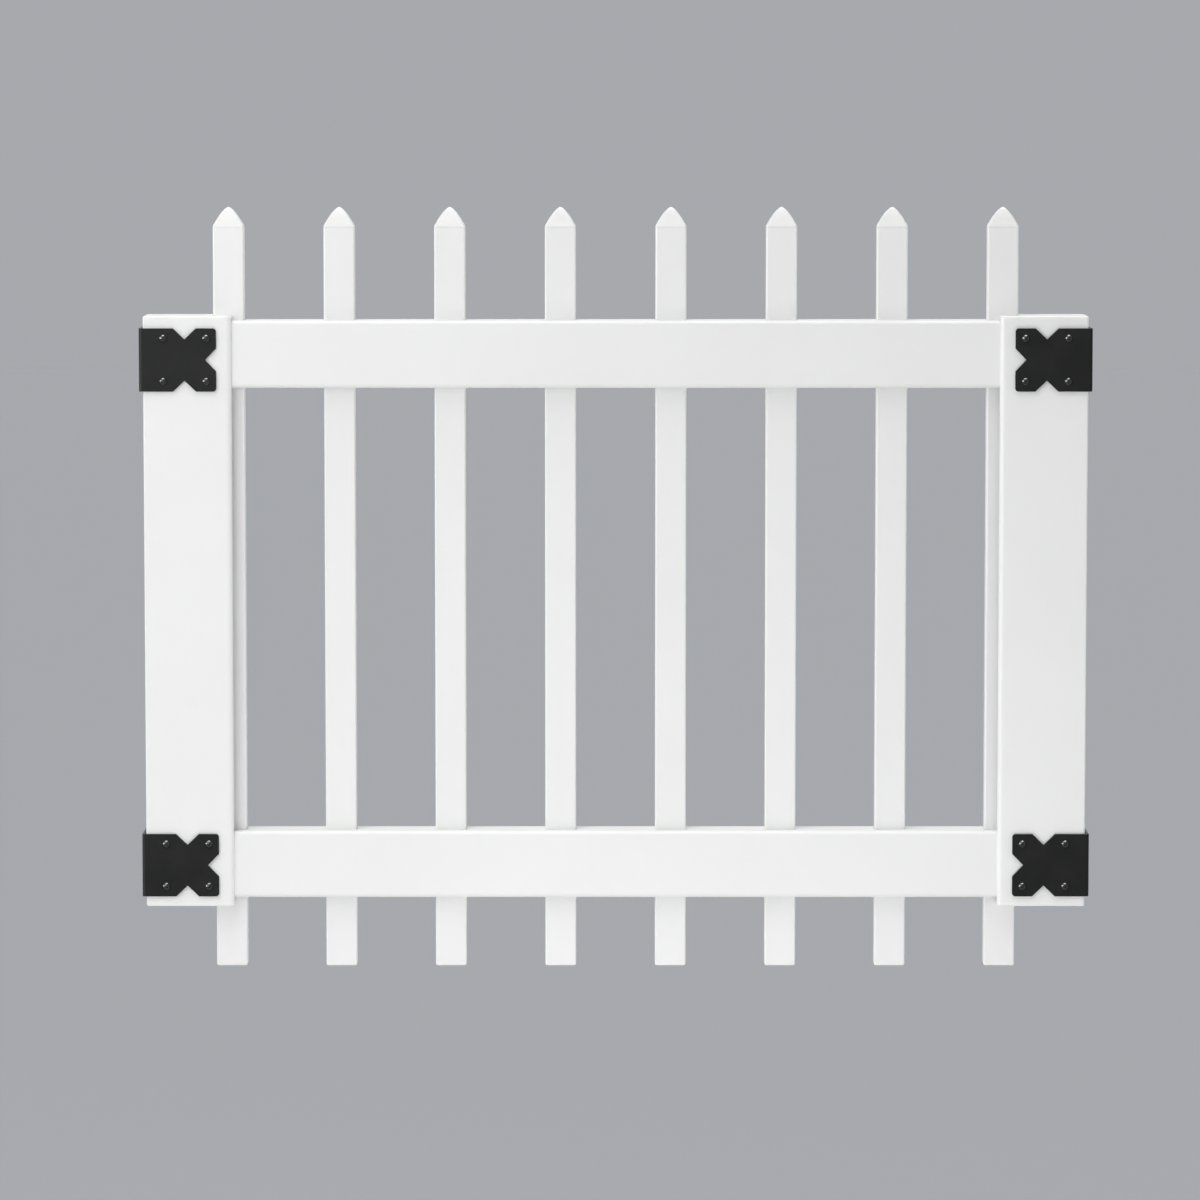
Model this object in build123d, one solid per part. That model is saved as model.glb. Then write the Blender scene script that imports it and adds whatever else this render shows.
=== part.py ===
from build123d import *
import os

# Vinyl picket gate leaf. Millimetres, +Z up, the front faces -Y. The origin is the centre
# of the outer face of the bottom left corner bracket, where the leaf is fastened to a hinge.

# Fits
slide_clearance = 0.3       # rail in the mouth of an upright, picket in its routed hole
plug_clearance = 0.2        # plugs and caps pushed into hollow sections
bracket_clearance = 0.2     # cheeks of a bracket on the faces of an upright
inside_corner = 0.5         # inner corner of every hollow section

# Pickets: hollow extrusions that pass through both rails
picket_count = 8
picket_width = 38.1
picket_depth = 22.2
picket_wall = 1.8
picket_corner = 2.4
picket_head = 138.1         # from the top rail up to the tip of the cap
picket_tail = 87.0          # from the bottom rail down to the foot
end_picket_reveal = 14.85   # width of an end picket that stands clear of its upright

# Picket caps and foot plugs: mouldings with a hollow spigot inside the picket
cap_height = 24.7
cap_seam = 0.6              # bevel round the base of the cap
cap_swell = 1.05            # how long the sides of the cap stay upright above its base
cap_nose = 0.66             # how blunt its tip is
cap_sections = 8
plug_thickness = 4.0
plug_end_round = 3.2        # lower corners of a plug, seen from the front
plug_side_round = 2.2       # the same, seen from the side
spigot_length = 14.0
spigot_wall = 1.6
spigot_corner = 1.0

# Rails: hollow extrusions, routed for the pickets, that end inside the uprights
rail_depth = 50.8
rail_height = 82.5
rail_wall = 2.5
rail_corner = 5.0
rail_spacing = 628.5        # between the middles of the two rails

# Uprights: channels with a rounded lip each side of the mouth that takes the rails
leaf_width = 1155.4         # over the outer faces of the two uprights
upright_width = 108.0
upright_wall = 3.0
upright_lip = 6.3           # outer radius of a lip
upright_corner = 2.4
upright_rise = 5.8          # above the top rail, with its cap
upright_drop = 10.0         # below the bottom rail, with its cap

# Caps that close the uprights, with a leg each side of the rail
end_cap_thickness = 5.0
end_cap_round = 2.2
leg_length = 14.0
leg_inset = 8.0

# Corner brackets: plate bent to a U round the outer edge of an upright, cut to an X
bracket_thickness = 3.2
bracket_bend = 0.8          # inner radius of the two bends
bracket_edge = 0.5          # round of the outer edges of the plate
bracket_web_gap = 1.6       # from the web to the outer face of the upright
bracket_height = 77.2
bracket_reach = 94.4        # from the outer face of the web to the tips of the cheeks
bracket_corner = 4.0
notch_depth = 13.5
notch_half_width = 14.0
notch_mouth_round = 2.0
notch_root_round = 0.8
screw_spacing = 52.5
screw_hole = 4.8
top_bracket_drop = 6.5      # middle of a top bracket below the middle of the top rail

# Places that follow from the sizes
mouth_width = rail_depth + 2 * slide_clearance
upright_depth = mouth_width + 2 * upright_lip
leaf_left = bracket_thickness + bracket_web_gap
leaf_right = leaf_left + leaf_width
top_rail_z = rail_spacing
rail_top = top_rail_z + rail_height / 2
rail_bottom = -rail_height / 2
tip_z = rail_top + picket_head
foot_z = rail_bottom - picket_tail
tube_top = rail_top + upright_rise - end_cap_thickness
tube_bottom = rail_bottom - upright_drop + end_cap_thickness
hidden_width = picket_width - end_picket_reveal
first_picket_x = leaf_left + upright_width - hidden_width + picket_width / 2
last_picket_x = leaf_right - upright_width + hidden_width - picket_width / 2
picket_pitch = (last_picket_x - first_picket_x) / (picket_count - 1)
picket_places = [first_picket_x + number * picket_pitch for number in range(picket_count)]


def hollow_section(width, depth, wall, corner):
    """A rounded rectangle with a bore that leaves an even wall."""
    bore = RectangleRounded(width - 2 * wall, depth - 2 * wall, inside_corner)
    return RectangleRounded(width, depth, corner) - bore


def picket(x):
    """One hollow picket, between its plug and its cap."""
    low = foot_z + plug_thickness
    high = tip_z - cap_height
    section = hollow_section(picket_width, picket_depth, picket_wall, picket_corner)
    return Pos(x, 0, low) * extrude(section, high - low)


def spigot():
    """The hollow stub of a cap or plug that fills the bore of a picket, rising from z = 0."""
    shrink = 2 * (picket_wall + plug_clearance)
    section = hollow_section(picket_width - shrink, picket_depth - shrink, spigot_wall, spigot_corner)
    return extrude(section, spigot_length)


def picket_cap(x):
    """Four-sided pointed cap with swelling sides, lofted through shrinking picket outlines."""
    point_height = cap_height - cap_seam
    layers = []
    for number in range(cap_sections):
        level = 1 - (1 - number / cap_sections) ** 2
        share = (1 - level ** cap_swell) ** cap_nose
        outline = RectangleRounded(picket_width * share, picket_depth * share, picket_corner * share)
        layers.append(Pos(0, 0, cap_seam + point_height * level) * outline)
    point = loft(layers + [Vertex(0, 0, cap_height)])
    base = RectangleRounded(
        picket_width - 2 * cap_seam,
        picket_depth - 2 * cap_seam,
        picket_corner - cap_seam,
    )
    bevel = loft([base, layers[0]], ruled=True)
    stub = Pos(0, 0, -spigot_length) * spigot()
    return Pos(x, 0, tip_z - cap_height) * (point + bevel + stub)


def plug_profile(width, corner):
    """Upright outline of a plug from z = 0 up, with its two lower corners rounded."""
    outline = Pos(0, plug_thickness / 2) * Rectangle(width, plug_thickness)
    return fillet(outline.vertices().group_by(Axis.Y)[0], corner)


def picket_plug(x):
    """Foot plug with rounded lower edges."""
    plate = extrude(RectangleRounded(picket_width, picket_depth, picket_corner), plug_thickness)
    front = extrude(Plane.XZ * plug_profile(picket_width, plug_end_round), picket_depth, both=True)
    side = extrude(Plane.YZ * plug_profile(picket_depth, plug_side_round), picket_width, both=True)
    foot = plate & front & side
    return Pos(x, 0, foot_z) * (foot + Pos(0, 0, plug_thickness) * spigot())


def rail(z):
    """One hollow rail with a routed hole, top and bottom, for every picket."""
    start = leaf_left + upright_wall + slide_clearance
    length = leaf_width - 2 * (upright_wall + slide_clearance)
    section = Plane.YZ * hollow_section(rail_depth, rail_height, rail_wall, rail_corner)
    bar = Pos(start, 0, z) * extrude(section, length)
    hole = RectangleRounded(
        picket_width + 2 * slide_clearance,
        picket_depth + 2 * slide_clearance,
        picket_corner + slide_clearance,
    )
    router = extrude(hole, rail_height, both=True)
    for x in picket_places:
        bar -= Pos(x, 0, z) * router
    return bar


def channel_outline(width, depth, start, mouth_radius, back_radius):
    """Rectangle from x = start, rounded differently at the mouth side and at the back."""
    outline = Pos(start + width / 2, 0) * Rectangle(width, depth)
    outline = fillet(outline.vertices().group_by(Axis.X)[0], mouth_radius)
    return fillet(outline.vertices().group_by(Axis.X)[-1], back_radius)


def upright_outline():
    """Outside of an upright seen from above, its mouth at x = 0 and its back towards +X."""
    return channel_outline(upright_width, upright_depth, 0, upright_lip, upright_corner)


def upright():
    """Lipped channel with its mouth at x = 0, open along its whole height."""
    bore = channel_outline(
        upright_width - 2 * upright_wall,
        upright_depth - 2 * upright_wall,
        upright_wall,
        max(upright_lip - upright_wall, inside_corner),
        inside_corner,
    )
    mouth = Rectangle(2 * upright_wall, mouth_width)
    section = upright_outline() - bore - mouth
    return Pos(0, 0, tube_bottom) * extrude(section, tube_top - tube_bottom)


def end_cap():
    """Top cap of an upright, notched for the end picket, seated at z = 0."""
    plate = extrude(upright_outline(), end_cap_thickness)
    plate = fillet(plate.faces().sort_by(Axis.Z)[-1].edges(), end_cap_round)
    notch_length = hidden_width + slide_clearance
    notch = Box(2 * notch_length, picket_depth + 2 * slide_clearance, 2 * end_cap_thickness)
    plate -= Pos(0, 0, end_cap_thickness) * notch
    leg_start = upright_lip + leg_inset
    leg_end = upright_width - upright_wall - leg_inset
    leg_inner = rail_depth / 2 + slide_clearance
    leg_outer = upright_depth / 2 - upright_wall - plug_clearance
    leg = Box(leg_end - leg_start, leg_outer - leg_inner, leg_length)
    for side in (-1, 1):
        y = side * (leg_inner + leg_outer) / 2
        plate += Pos((leg_start + leg_end) / 2, y, -leg_length / 2) * leg
    return plate


def bracket_outline():
    """Side view of a bracket: web at x = 0, X-shaped cheek towards +X, middle at z = 0."""
    half = bracket_height / 2
    middle = bracket_reach - half
    corners = [
        ((0, -half), 0),
        ((middle - notch_half_width, -half), notch_mouth_round),
        ((middle, notch_depth - half), notch_root_round),
        ((middle + notch_half_width, -half), notch_mouth_round),
        ((bracket_reach, -half), bracket_corner),
        ((bracket_reach, -notch_half_width), notch_mouth_round),
        ((bracket_reach - notch_depth, 0), notch_root_round),
        ((bracket_reach, notch_half_width), notch_mouth_round),
        ((bracket_reach, half), bracket_corner),
        ((middle + notch_half_width, half), notch_mouth_round),
        ((middle, half - notch_depth), notch_root_round),
        ((middle - notch_half_width, half), notch_mouth_round),
        ((0, half), 0),
    ]
    points = [point for point, radius in corners]
    radii = [radius for point, radius in corners]
    return make_face(FilletPolyline(*points, radius=radii, close=True))


def bracket():
    """Bent corner bracket with its web at x = 0 and its cheeks towards +X."""
    inner_depth = upright_depth + 2 * bracket_clearance
    outer_depth = inner_depth + 2 * bracket_thickness
    bend = bracket_bend + bracket_thickness
    blank = Pos(bracket_reach / 2, 0) * Rectangle(bracket_reach, outer_depth)
    blank = fillet(blank.vertices().group_by(Axis.X)[0], bend)
    inside = Pos(bracket_thickness + bracket_reach / 2, 0) * Rectangle(bracket_reach, inner_depth)
    inside = fillet(inside.vertices().group_by(Axis.X)[0], bracket_bend)
    strip = extrude(blank - inside, bracket_height / 2, both=True)
    cutter = extrude(Plane.XZ * bracket_outline(), outer_depth / 2, both=True)
    bent = strip & cutter
    cut_edges = bent.edges().filter_by(lambda edge: abs(edge.center().Y) > outer_depth / 2 - 0.01)
    cut_edges = cut_edges.filter_by(lambda edge: edge.center().X > bend + 0.01)
    bent = fillet(cut_edges, bracket_edge)
    middle = bracket_reach - bracket_height / 2
    drill = Rot(90, 0, 0) * Cylinder(screw_hole / 2, 2 * outer_depth)
    for across in (-1, 1):
        for up in (-1, 1):
            bent -= Pos(middle + across * screw_spacing / 2, 0, up * screw_spacing / 2) * drill
    return bent


def on_left(shape):
    """Turns a right-hand upright or cap into its left-hand twin, in place."""
    return Pos(leaf_left + upright_width, 0, 0) * mirror(shape, Plane.YZ)


def on_right(shape):
    """Sets a right-hand upright or cap in place."""
    return Pos(leaf_right - upright_width, 0, 0) * shape


nodes = {}
nodes["left_upright"] = on_left(upright())
nodes["right_upright"] = on_right(upright())
nodes["top_rail"] = rail(top_rail_z)
nodes["bottom_rail"] = rail(0)
for number, place in enumerate(picket_places, start=1):
    nodes[f"picket_{number}"] = picket(place)
    nodes[f"picket_cap_{number}"] = picket_cap(place)
    nodes[f"picket_plug_{number}"] = picket_plug(place)

top_cap = Pos(0, 0, tube_top) * end_cap()
bottom_cap = Pos(0, 0, tube_bottom) * mirror(end_cap(), Plane.XY)
nodes["left_upright_top_cap"] = on_left(top_cap)
nodes["right_upright_top_cap"] = on_right(top_cap)
nodes["left_upright_bottom_cap"] = on_left(bottom_cap)
nodes["right_upright_bottom_cap"] = on_right(bottom_cap)

right_web_x = leaf_right + leaf_left
for row, z in (("top", top_rail_z - top_bracket_drop), ("bottom", 0)):
    nodes[f"{row}_left_bracket"] = Pos(0, 0, z) * bracket()
    nodes[f"{row}_right_bracket"] = Pos(right_web_x, 0, z) * mirror(bracket(), Plane.YZ)

os.makedirs("parts", exist_ok=True)
for name, shape in nodes.items():
    export_step(shape, f"parts/{name}.step")
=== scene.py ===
import math

import bmesh
import bpy
from mathutils import Matrix, Vector


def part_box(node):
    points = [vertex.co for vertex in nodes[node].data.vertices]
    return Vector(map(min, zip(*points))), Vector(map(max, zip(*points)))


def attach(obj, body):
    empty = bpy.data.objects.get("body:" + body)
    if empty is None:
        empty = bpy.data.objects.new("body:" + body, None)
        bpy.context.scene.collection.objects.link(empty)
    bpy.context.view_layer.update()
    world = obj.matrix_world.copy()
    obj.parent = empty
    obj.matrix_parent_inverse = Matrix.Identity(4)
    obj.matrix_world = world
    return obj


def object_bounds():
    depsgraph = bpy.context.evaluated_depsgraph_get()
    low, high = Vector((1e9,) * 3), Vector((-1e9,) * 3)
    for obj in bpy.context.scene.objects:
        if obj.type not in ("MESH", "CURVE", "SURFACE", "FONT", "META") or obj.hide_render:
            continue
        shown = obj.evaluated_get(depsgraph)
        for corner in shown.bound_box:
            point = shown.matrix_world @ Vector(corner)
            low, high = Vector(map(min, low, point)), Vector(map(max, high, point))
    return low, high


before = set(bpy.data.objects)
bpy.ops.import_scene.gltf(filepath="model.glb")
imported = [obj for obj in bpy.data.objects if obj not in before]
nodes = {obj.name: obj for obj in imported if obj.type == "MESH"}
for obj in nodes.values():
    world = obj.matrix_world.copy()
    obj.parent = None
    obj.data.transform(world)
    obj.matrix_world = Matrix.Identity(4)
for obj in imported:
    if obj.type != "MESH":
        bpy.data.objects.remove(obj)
cad_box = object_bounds()

# Uprights: two wide channels of white rigid vinyl, left and right, open towards the pickets.
# They are extruded, so faint draw lines run up them and their thin walls are never quite flat.
# The rails slide into their mouths, and the corner brackets hold them there.


class Value:
    """A number socket of a finish that takes part in Python arithmetic by adding Math nodes."""

    def __init__(self, finish, socket):
        self.finish = finish
        self.socket = socket

    def join(self, operation, other):
        return self.finish.node("ShaderNodeMath", {"operation": operation}, {0: self, 1: other})

    def __add__(self, other):
        return self.join("ADD", other)

    def __mul__(self, other):
        return self.join("MULTIPLY", other)

    __radd__ = __add__
    __rmul__ = __mul__


class Finish:
    """The node tree of a material or of the world, with one method that makes any node of it."""

    def __init__(self, owner):
        owner.use_nodes = True
        self.owner = owner
        self.tree = owner.node_tree
        self.tree.nodes.clear()

    def node(self, kind, settings=None, sockets=None, output=0):
        """Adds a node, sets its settings, then fills its sockets with numbers, colours or links."""
        made = self.tree.nodes.new(kind)
        for name, value in (settings or {}).items():
            setattr(made, name, value)
        for key, value in (sockets or {}).items():
            if isinstance(value, Value):
                self.tree.links.new(value.socket, made.inputs[key])
            else:
                made.inputs[key].default_value = value
        return Value(self, made.outputs[output]) if made.outputs else None

    def place(self, stretch=(1, 1, 1)):
        """Object coordinates in metres, stretched along each axis."""
        where = self.node("ShaderNodeTexCoord", output="Object")
        return self.node("ShaderNodeMapping", sockets={"Vector": where, "Scale": stretch})

    def clouds(self, scale, detail=2.0, stretch=(1, 1, 1)):
        """Noise from 0 to 1, with about that many lumps to the metre."""
        sockets = {"Vector": self.place(stretch), "Scale": scale, "Detail": detail}
        return self.node("ShaderNodeTexNoise", {}, sockets)

    def band(self, value, low, high):
        """How far a value has come from low to high, from 0 to 1."""
        sockets = {"Value": value, "From Min": low, "From Max": high}
        return self.node("ShaderNodeMapRange", {"interpolation_type": "SMOOTHSTEP"}, sockets)

    def tint(self, share, first, second):
        """A colour between two, by a share from 0 to 1."""
        sockets = {"Factor": share, 6: (*first, 1), 7: (*second, 1)}
        return self.node("ShaderNodeMix", {"data_type": "RGBA"}, sockets, output=2)

    def relief(self, height, depth, below=None):
        """A bump of that depth in metres, over another bump where one is given."""
        sockets = {"Height": height, "Distance": depth, "Strength": 1.0}
        if below:
            sockets["Normal"] = below
        return self.node("ShaderNodeBump", {}, sockets)

    def surface(self, sockets):
        """Closes the finish with a principled surface and returns its material."""
        shader = self.node("ShaderNodeBsdfPrincipled", {}, sockets)
        self.node("ShaderNodeOutputMaterial", {}, {"Surface": shader})
        return self.owner


VINYL_WHITE = (0.835, 0.842, 0.836)
VINYL_SHADE = (0.800, 0.806, 0.796)
VINYL_ROUGHNESS = 0.36
VINYL_SPECULAR = 0.45
DRAW_LINES = 900.0      # across a section, to the metre
DRAW_LENGTH = 2.0       # along it
DRAW_DEPTH = 0.000035
WAVES = 9.0             # to the metre, where the walls aren't quite flat
WAVE_DEPTH = 0.00035
GRAIN = 2600.0
GRAIN_DEPTH = 0.000012
SMUDGES = 14.0
SHADINGS = 5.0


def extruded_vinyl(name, along):
    """Satin white vinyl, drawn along one axis: fine lines, slight waves and clouded gloss."""
    finish = Finish(bpy.data.materials.new(name))
    stretch = [DRAW_LINES] * 3
    stretch[along] = DRAW_LENGTH
    lines = finish.clouds(1.0, stretch=stretch)
    waves = finish.clouds(WAVES, detail=1.0)
    grain = finish.clouds(GRAIN, detail=1.0)
    smudge = finish.band(finish.clouds(SMUDGES, detail=4.0), 0.52, 0.72)
    shade = finish.band(finish.clouds(SHADINGS, detail=3.0), 0.30, 0.80) * 0.55 + lines * 0.25
    wavy = finish.relief(waves, WAVE_DEPTH)
    drawn = finish.relief(lines, DRAW_DEPTH, wavy)
    return finish.surface({
        "Base Color": finish.tint(shade, VINYL_WHITE, VINYL_SHADE),
        "Roughness": VINYL_ROUGHNESS + lines * 0.06 + smudge * 0.10,
        "Normal": finish.relief(grain, GRAIN_DEPTH, drawn),
        "Specular IOR Level": VINYL_SPECULAR,
    })


def dress(material, *names):
    """Gives CAD nodes their finish."""
    for name in names:
        piece = nodes[name]
        piece.data.materials.clear()
        piece.data.materials.append(material)


ACROSS, UP = 0, 2
dress(extruded_vinyl("upright_vinyl", UP), "left_upright", "right_upright")

# Caps of the uprights: flat white mouldings pushed into the ends of the channels, top and bottom.
# Their legs stand beside the rail, and a notch lets the end picket through.

MOULDING_WHITE = (0.850, 0.853, 0.846)
MOULDING_SHADE = (0.815, 0.818, 0.808)
MOULDING_ROUGHNESS = 0.33
TOOL_TEXTURE = 1900.0   # to the metre
TOOL_DEPTH = 0.00002
SINKS = 60.0            # shallow hollows left as the moulding cools
SINK_DEPTH = 0.00012
MOULDING_SHADINGS = 25.0


def moulded_vinyl(name):
    """Satin white moulding, slightly smoother than the drawn sections, with a fine tool texture."""
    finish = Finish(bpy.data.materials.new(name))
    texture = finish.clouds(TOOL_TEXTURE)
    sinks = finish.clouds(SINKS, detail=1.0)
    shade = finish.band(finish.clouds(MOULDING_SHADINGS, detail=3.0), 0.35, 0.80)
    hollows = finish.relief(sinks, SINK_DEPTH)
    return finish.surface({
        "Base Color": finish.tint(shade, MOULDING_WHITE, MOULDING_SHADE),
        "Roughness": MOULDING_ROUGHNESS + texture * 0.10,
        "Normal": finish.relief(texture, TOOL_DEPTH, hollows),
        "Specular IOR Level": VINYL_SPECULAR,
    })


end_cap_names = [f"{side}_upright_{end}_cap" for side in ("left", "right") for end in ("top", "bottom")]
dress(moulded_vinyl("end_cap_vinyl"), *end_cap_names)

# Rails: two hollow white sections with rounded edges, drawn along the width of the gate.
# Holes routed through their tops and bottoms take the pickets, and their ends sit in the uprights.

dress(extruded_vinyl("rail_vinyl", ACROSS), "top_rail", "bottom_rail")

# Pickets: eight slim hollow white vinyl sections, drawn and cut to length.
# They pass through the routed holes of both rails, and the end ones stand partly inside the uprights.

picket_names = sorted(name for name in nodes if name.startswith("picket_"))
cap_names = [name for name in picket_names if "cap" in name]
plug_names = [name for name in picket_names if "plug" in name]
bar_names = [name for name in picket_names if name not in cap_names + plug_names]
dress(extruded_vinyl("picket_vinyl", UP), *bar_names)

# Picket caps and foot plugs: white mouldings pushed into the ends of the pickets.
# The caps come to a blunt four-sided point, and the plugs close the feet.

dress(moulded_vinyl("picket_cap_vinyl"), *cap_names, *plug_names)

# Corner brackets: steel plate cut to an X, bent to a U and powder coated satin black.
# Each wraps the outer edge of an upright and is screwed through it, front and back.

COAT_BLACK = (0.0062, 0.0062, 0.0064)
COAT_GREY = (0.0115, 0.0115, 0.0119)
COAT_ROUGHNESS = 0.42
COAT_SPECULAR = 0.28
PEEL = 1400.0           # lumps of the coat's orange peel, to the metre
PEEL_DEPTH = 0.00005
SPECKS = 5200.0
SPECK_DEPTH = 0.00001
COAT_SHADINGS = 30.0


def powder_coat(name):
    """Satin black powder coat with a fine orange peel and slight clouding."""
    finish = Finish(bpy.data.materials.new(name))
    peel = finish.clouds(PEEL)
    specks = finish.clouds(SPECKS, detail=1.0)
    shade = finish.band(finish.clouds(COAT_SHADINGS, detail=3.0), 0.35, 0.75)
    bumps = finish.relief(peel, PEEL_DEPTH)
    return finish.surface({
        "Base Color": finish.tint(shade * 0.6 + specks * 0.4, COAT_BLACK, COAT_GREY),
        "Roughness": COAT_ROUGHNESS + peel * 0.12 + shade * 0.06,
        "Normal": finish.relief(specks, SPECK_DEPTH, bumps),
        "Specular IOR Level": COAT_SPECULAR,
    })


bracket_names = [f"{row}_{side}_bracket" for row in ("top", "bottom") for side in ("left", "right")]
dress(powder_coat("black_powder_coat"), *bracket_names)

# Bracket screws: glossy black domed screws with a cross recess, four to a cheek.
# Each head seats on the cheek and its shank fills the hole through it.

HEAD_RADIUS = 0.0047
HEAD_WALL = 0.0006          # straight rim under the dome
HEAD_HEIGHT = 0.0031
SHANK_RADIUS = 0.0022
SHANK_LENGTH = 0.0030
RECESS_ARM = 0.0021         # middle of the head to the end of an arm of the recess
RECESS_WAIST = 0.0009       # middle of the head to the inner corner between two arms
RECESS_DEPTH = 0.0017
RECESS_TAPER = 0.55         # size of the floor of the recess against its mouth
TURN_STEPS = 32
DOME_STEPS = 6
SHARP_EDGE = math.radians(35)
SCREW_SPACING = 0.0525
SCREW_TURN = 20             # degrees, a little different for each screw of a cheek
TURN_ACROSS = 30
TURN_UP = 55
SCREW_BLACK = (0.004, 0.004, 0.0045)
SCREW_WORN = (0.010, 0.010, 0.011)
SCREW_ROUGHNESS = 0.12
SCREW_SPECULAR = 1.0
DRIVER_MARKS = 900.0        # to the metre
MARK_DEPTH = 0.00002


def screw():
    """One screw standing on z = 0, its head up: a spun outline whose recess is drawn in to a cross."""
    mesh = bmesh.new()
    rise = HEAD_HEIGHT - HEAD_WALL
    dome_radius = (HEAD_RADIUS ** 2 + rise ** 2) / (2 * rise)
    dome_centre = HEAD_HEIGHT - dome_radius
    rim_turn = math.asin(HEAD_RADIUS / dome_radius)
    mouth_turn = math.asin(RECESS_ARM / dome_radius)
    outline = [(0.0, -SHANK_LENGTH), (SHANK_RADIUS, -SHANK_LENGTH), (SHANK_RADIUS, 0.0), (HEAD_RADIUS, 0.0)]
    for number in range(DOME_STEPS + 1):
        turn = rim_turn + (mouth_turn - rim_turn) * number / DOME_STEPS
        outline.append((dome_radius * math.sin(turn), dome_centre + dome_radius * math.cos(turn)))
    outline.append((RECESS_ARM * RECESS_TAPER, HEAD_HEIGHT - RECESS_DEPTH))
    outline.append((0.0, HEAD_HEIGHT - RECESS_DEPTH * 1.1))
    corners = [mesh.verts.new((radius, 0.0, height)) for radius, height in outline]
    edges = [mesh.edges.new(pair) for pair in zip(corners, corners[1:])]
    bmesh.ops.spin(
        mesh, geom=corners + edges, cent=(0, 0, 0), axis=(0, 0, 1),
        angle=2 * math.pi, steps=TURN_STEPS, use_merge=True,
    )
    bmesh.ops.remove_doubles(mesh, verts=mesh.verts, dist=1e-6)
    bmesh.ops.recalc_face_normals(mesh, faces=mesh.faces)
    arm_turn = TURN_STEPS // 4
    for corner in mesh.verts:
        radius = math.hypot(corner.co.x, corner.co.y)
        if corner.co.z <= 0 or not 1e-6 < radius < RECESS_ARM * 1.01:
            continue
        step = round(math.atan2(corner.co.y, corner.co.x) / (2 * math.pi) * TURN_STEPS) % arm_turn
        if min(step, arm_turn - step) > 1:
            share = RECESS_WAIST / RECESS_ARM
            corner.co.x *= share
            corner.co.y *= share
            if radius > RECESS_ARM * 0.9:
                corner.co.z = dome_centre + math.sqrt(dome_radius ** 2 - (radius * share) ** 2)
    for face in mesh.faces:
        face.smooth = True
    for edge in mesh.edges:
        edge.smooth = edge.calc_face_angle(math.pi) < SHARP_EDGE
    return mesh


def screw_black(name):
    """Glossy black finish of the screws, with the marks of the driver in it."""
    finish = Finish(bpy.data.materials.new(name))
    marks = finish.clouds(DRIVER_MARKS, detail=3.0)
    return finish.surface({
        "Base Color": finish.tint(marks, SCREW_BLACK, SCREW_WORN),
        "Roughness": SCREW_ROUGHNESS + marks * 0.10,
        "Normal": finish.relief(marks, MARK_DEPTH),
        "Specular IOR Level": SCREW_SPECULAR,
    })


screw_finish = screw_black("screw_black")
for bracket_name in bracket_names:
    low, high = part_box(bracket_name)
    half_height = (high.z - low.z) / 2
    middle_x = high.x - half_height if "left" in bracket_name else low.x + half_height
    middle_z = (low.z + high.z) / 2
    for cheek, face_y, tip in (("front", low.y, math.pi / 2), ("back", high.y, -math.pi / 2)):
        mesh = bpy.data.meshes.new(f"{bracket_name}_{cheek}_screws")
        row = bmesh.new()
        for across in (-0.5, 0.5):
            for up in (-0.5, 0.5):
                spot = Vector((middle_x + across * SCREW_SPACING, face_y, middle_z + up * SCREW_SPACING))
                turn = math.radians(SCREW_TURN + TURN_ACROSS * across + TURN_UP * up)
                twist = Matrix.Rotation(turn, 4, "Z")
                one = screw()
                one.transform(Matrix.Translation(spot) @ Matrix.Rotation(tip, 4, "X") @ twist)
                one.to_mesh(mesh)
                one.free()
                row.from_mesh(mesh)
        row.to_mesh(mesh)
        row.free()
        mesh.materials.append(screw_finish)
        piece = bpy.data.objects.new(mesh.name, mesh)
        bpy.context.scene.collection.objects.link(piece)
        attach(piece, "root")

# Floor: a wide studio floor well below the feet of the hung gate, plain pale grey where it is seen.
# To the light that it throws back on the gate it is white, as a studio sweep is.
# Far off it fades into the backdrop of the same grey, so that no horizon shows.

FLOOR_HALF = 60.0
FLOOR_GREY = (0.4308, 0.4432, 0.4680)
FLOOR_WHITE = (0.80, 0.80, 0.80)
FOOT_CLEARANCE = 0.9
FADE_START = 12.0       # from the gate, in metres
FADE_END = 50.0


def seen(finish):
    """1 where the eye or a mirror looks, 0 for light on its way round the studio."""
    kinds = ("Is Camera Ray", "Is Glossy Ray", "Is Transmission Ray")
    return sum(finish.node("ShaderNodeLightPath", output=kind) for kind in kinds)


low, high = cad_box
floor_mesh = bmesh.new()
bmesh.ops.create_grid(floor_mesh, x_segments=1, y_segments=1, size=FLOOR_HALF)
bmesh.ops.translate(floor_mesh, vec=(0, 0, low.z - FOOT_CLEARANCE), verts=floor_mesh.verts)
mesh = bpy.data.meshes.new("floor")
floor_mesh.to_mesh(mesh)
floor_mesh.free()
floor_finish = Finish(bpy.data.materials.new("floor_grey"))
spot = floor_finish.place()
reach = floor_finish.node("ShaderNodeVectorMath", {"operation": "LENGTH"}, {0: spot}, output="Value")
mesh.materials.append(floor_finish.surface({
    "Base Color": floor_finish.tint(seen(floor_finish), FLOOR_WHITE, FLOOR_GREY),
    "Alpha": floor_finish.band(reach, FADE_END, FADE_START),
    "Roughness": 0.95,
    "Specular IOR Level": 0.0,
}))
floor = bpy.data.objects.new("floor", mesh)
bpy.context.scene.collection.objects.link(floor)

# Light: broad soft lamps from high up, from both sides and from behind, in an even white world.
# A soft box in front to the left makes that side brighter, and a low board lifts the bottom rail.
# Two more lamps only put glints on the screws and on rounded edges.

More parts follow.
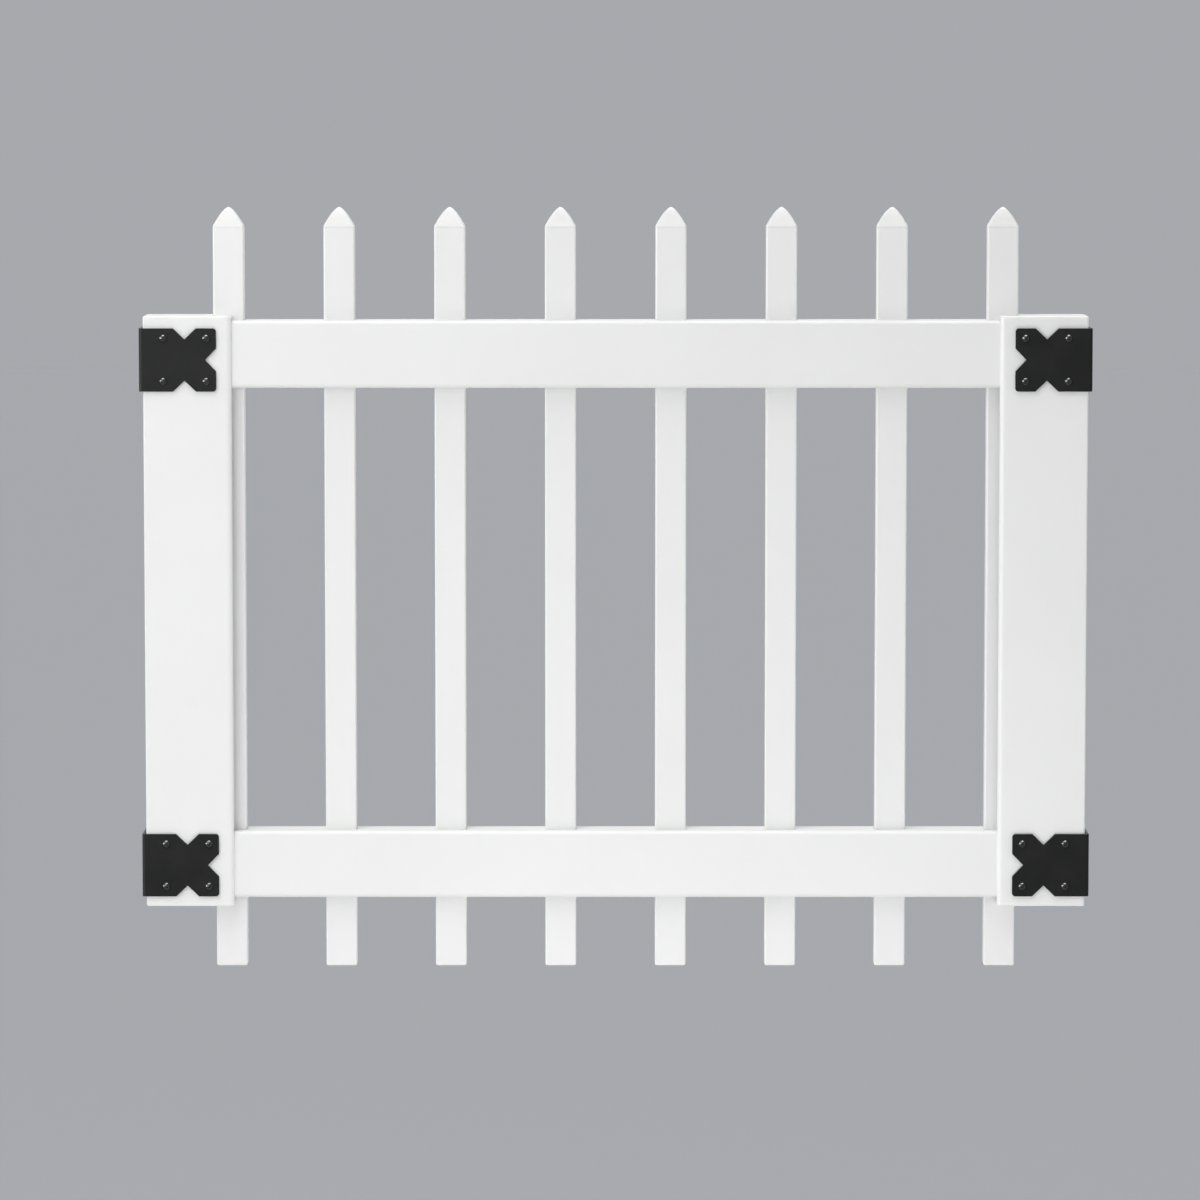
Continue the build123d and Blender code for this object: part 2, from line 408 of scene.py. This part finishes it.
HIGH_LAMP = Vector((-0.20, -0.30, 0.93))
HIGH_STRENGTH = 1.36
HIGH_SPREAD = 45.0
SIDE_LAMPS = {"left_lamp": Vector((-1.0, -0.2, 0.12)), "right_lamp": Vector((1.0, -0.2, 0.12))}
SIDE_STRENGTH = 0.42
SIDE_SPREAD = 40.0
BACK_LAMP = Vector((0.0, 0.90, 0.42))
BACK_STRENGTH = 0.60
BACK_SPREAD = 70.0
REAR_LAMP = Vector((0.0, 1.0, 0.12))
REAR_STRENGTH = 0.34
REAR_SPREAD = 40.0
GLINT_ABOVE = Vector((0.14, 0.0, 0.98))
GLINT_ABOVE_STRENGTH = 2.7
GLINT_LEFT = Vector((-0.89, -0.42, 0.18))
GLINT_LEFT_STRENGTH = 2.4
GLINT_SPREAD = 36.0
BOX_PLACE = Vector((-0.6, -1.6, 1.2))
BOX_AIM = Vector((0.2, 0.0, 0.5))
BOX_POWER = 12.6
BOX_SIZE = 1.5
BOARD_PLACE = Vector((0.65, -1.0, -0.5))
BOARD_AIM = Vector((0.65, 0.0, 0.0))
BOARD_POWER = 3.6
BOARD_SIZE = 1.0
WORLD_WHITE = (0.345, 0.345, 0.345)
BACKDROP_GREY = (0.386, 0.397, 0.418)


def lamp(name, kind, towards, place=(0, 0, 0), lights=True, glints=True, **settings):
    """A lamp that stands in the given direction, and that lights surfaces, glints in them or does both."""
    data = bpy.data.lights.new(name, kind)
    for key, value in settings.items():
        setattr(data, key, value)
    item = bpy.data.objects.new(name, data)
    item.location = place
    item.rotation_mode = "QUATERNION"
    item.rotation_quaternion = towards.to_track_quat("Z", "Y")
    item.visible_camera = False
    item.visible_diffuse = lights
    item.visible_glossy = glints
    bpy.context.scene.collection.objects.link(item)


lamp("high_lamp", "SUN", HIGH_LAMP, energy=HIGH_STRENGTH, angle=math.radians(HIGH_SPREAD))
for name, towards in SIDE_LAMPS.items():
    lamp(name, "SUN", towards, glints=False, energy=SIDE_STRENGTH, angle=math.radians(SIDE_SPREAD))
lamp("back_lamp", "SUN", BACK_LAMP, energy=BACK_STRENGTH, angle=math.radians(BACK_SPREAD))
lamp("rear_lamp", "SUN", REAR_LAMP, glints=False, energy=REAR_STRENGTH, angle=math.radians(REAR_SPREAD))
for name, towards, strength in (
    ("glint_above", GLINT_ABOVE, GLINT_ABOVE_STRENGTH),
    ("glint_left", GLINT_LEFT, GLINT_LEFT_STRENGTH),
):
    lamp(name, "SUN", towards, lights=False, energy=strength, angle=math.radians(GLINT_SPREAD))
lamp("soft_box", "AREA", BOX_PLACE - BOX_AIM, BOX_PLACE, energy=BOX_POWER, size=BOX_SIZE)
lamp(
    "low_board", "AREA", BOARD_PLACE - BOARD_AIM, BOARD_PLACE,
    glints=False, energy=BOARD_POWER, size=BOARD_SIZE,
)

world = bpy.data.worlds.new("studio")
sky = Finish(world)
backdrop = sky.node("ShaderNodeBackground", {}, {"Color": sky.tint(seen(sky), WORLD_WHITE, BACKDROP_GREY)})
sky.node("ShaderNodeOutputWorld", {}, {"Surface": backdrop})
bpy.context.scene.world = world

# Camera: seven metres in front of the gate and a little above its middle, looking slightly down.
# Its long lens keeps the uprights almost parallel.

CAMERA_DISTANCE = 7.0
CAMERA_ELEVATION = 5.2
CAMERA_LENS = 170.5
SENSOR_WIDTH = 36.0
CLIP_END = 200.0
AIM_OFFSET = Vector((-0.0192, 0, -0.0151))

aim = (low + high) / 2 + AIM_OFFSET
rise = math.radians(CAMERA_ELEVATION)
back = Vector((0, -math.cos(rise), math.sin(rise)))
camera_data = bpy.data.cameras.new("camera")
camera_data.lens = CAMERA_LENS
camera_data.sensor_width = SENSOR_WIDTH
camera_data.clip_end = CLIP_END
camera = bpy.data.objects.new("camera", camera_data)
camera.location = aim + back * CAMERA_DISTANCE
camera.rotation_mode = "QUATERNION"
camera.rotation_quaternion = (-back).to_track_quat("-Z", "Y")
bpy.context.scene.collection.objects.link(camera)
bpy.context.scene.camera = camera
bpy.context.scene.view_settings.view_transform = "Standard"
